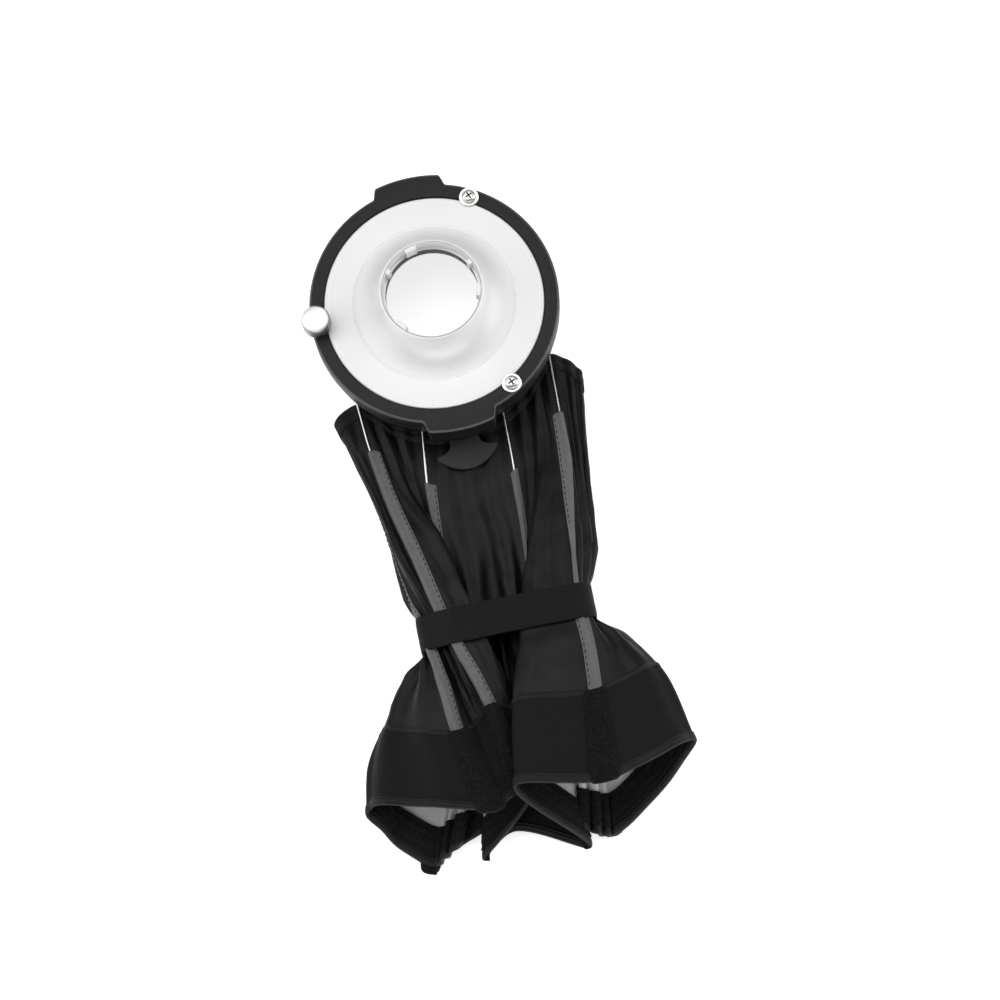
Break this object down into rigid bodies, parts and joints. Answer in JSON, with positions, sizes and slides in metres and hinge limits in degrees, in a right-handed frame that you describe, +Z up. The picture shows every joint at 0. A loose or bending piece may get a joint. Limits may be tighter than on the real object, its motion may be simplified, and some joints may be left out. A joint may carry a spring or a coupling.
{
  "type": "folding snoot",
  "caption": "Folding cloth snoot for a studio lamp, packed flat: speed ring with a clamped adapter dish, and a ribbed black canopy gathered to one side under an elastic band.",
  "frame": {"origin": "middle of the underside of the whole part as it lies folded", "axes": "+Z up out of the adapter dish, +Y from the cloth bundle towards the ring, +X to the right seen from above"},
  "size_m": [0.19, 0.4168, 0.0667],
  "materials": {
    "ring_black": "satin black coat with a fine grain",
    "plate_black": "matte moulded",
    "dish_aluminium": "finely turned, bright",
    "fastener_nickel": "nickel plated",
    "wire_steel": "bright drawn spring wire",
    "canopy_black": "coated nylon, slight sheen, creased",
    "sleeve_grey": "plain woven tape, stitched along one edge",
    "lining_white": "white coated cloth",
    "fuzzy_black": "soft loop pile",
    "band_black": "ribbed woven elastic"
  },
  "bodies": {
    "ring": {"ring_flange": "ring_black", "ring_housing": "ring_black", "rear_plate": "plate_black", "ring_screw_1": "fastener_nickel", "ring_screw_2": "fastener_nickel", "ring_screw_3": "fastener_nickel", "ring_screw_4": "fastener_nickel", "clamp_washer_1": "fastener_nickel", "clamp_washer_2": "fastener_nickel", "clamp_screw_1": "fastener_nickel", "clamp_screw_2": "fastener_nickel", "tab_guide_pin": "fastener_nickel", "tab_spring": "wire_steel"},
    "adapter": {"adapter_dish": "dish_aluminium", "bayonet_collar": "dish_aluminium", "collar_set_screw": "fastener_nickel"},
    "thumb_shaft": {"thumb_stud": "fastener_nickel"},
    "thumb_head": {"thumb_knob": "dish_aluminium"},
    "tab": {"release_tab": "plate_black"},
    "bundle": {"wire_0": "wire_steel", "wire_1": "wire_steel", "wire_2": "wire_steel", "wire_3": "wire_steel", "wire_4": "wire_steel", "wire_5": "wire_steel", "wire_6": "wire_steel", "wire_7": "wire_steel", "sleeve_0": "sleeve_grey", "sleeve_1": "sleeve_grey", "sleeve_2": "sleeve_grey", "sleeve_3": "sleeve_grey", "sleeve_4": "sleeve_grey", "sleeve_5": "sleeve_grey", "sleeve_6": "sleeve_grey", "sleeve_7": "sleeve_grey", "strip_0": "fuzzy_black", "strip_1": "fuzzy_black", "strip_2": "fuzzy_black", "strip_3": "fuzzy_black", "strip_4": "fuzzy_black", "strip_5": "fuzzy_black", "strip_6": "fuzzy_black", "strip_7": "fuzzy_black", "canopy_neck": "canopy_black", "rear_hem": "canopy_black", "canopy_core": "canopy_black", "canopy_fold_left": "canopy_black", "canopy_fold_right": "canopy_black", "canopy_skirt_left": "canopy_black", "canopy_skirt_right": "canopy_black", "lining_left": "lining_white", "lining_right": "lining_white", "front_hem_left": "canopy_black", "front_hem_right": "canopy_black", "elastic_band": "band_black"}
  },
  "joints": [
    {"name": "bundle_fold", "type": "hinge", "parent": "ring", "child": "bundle", "pos_m": [0.0185, 0.04685, 0.0095], "axis": [1, 0, 0], "range_deg": [0, 60], "deforming": ["wire_0", "wire_1", "wire_2", "wire_3", "wire_4", "wire_5", "wire_6", "wire_7", "sleeve_0", "sleeve_1", "sleeve_2", "sleeve_3", "sleeve_4", "sleeve_5", "sleeve_6", "sleeve_7", "canopy_neck", "rear_hem"]},
    {"name": "adapter_turn", "type": "hinge", "parent": "ring", "child": "adapter", "pos_m": [0.0185, 0.12685, 0.041], "axis": [0, 0, 1], "continuous": true},
    {"name": "thumb_lift", "type": "slide", "parent": "ring", "child": "thumb_shaft", "axis": [0, 0, 1], "range_m": [0, 0.0021]},
    {"name": "thumb_spin", "type": "hinge", "parent": "thumb_shaft", "child": "thumb_head", "pos_m": [-0.05283, 0.13184, 0.041], "axis": [0, 0, 1], "range_deg": [0, 900]},
    {"name": "tab_push", "type": "slide", "parent": "ring", "child": "tab", "axis": [0, 1, 0], "range_m": [0, 0.004], "stiffness_N_per_m": 400, "springref_m": -0.002, "deforming": ["tab_spring"]}
  ],
  "couplings": [
    {"joint": "thumb_lift", "follows": "thumb_spin", "m_per_rad": 0.00012732}
  ]
}
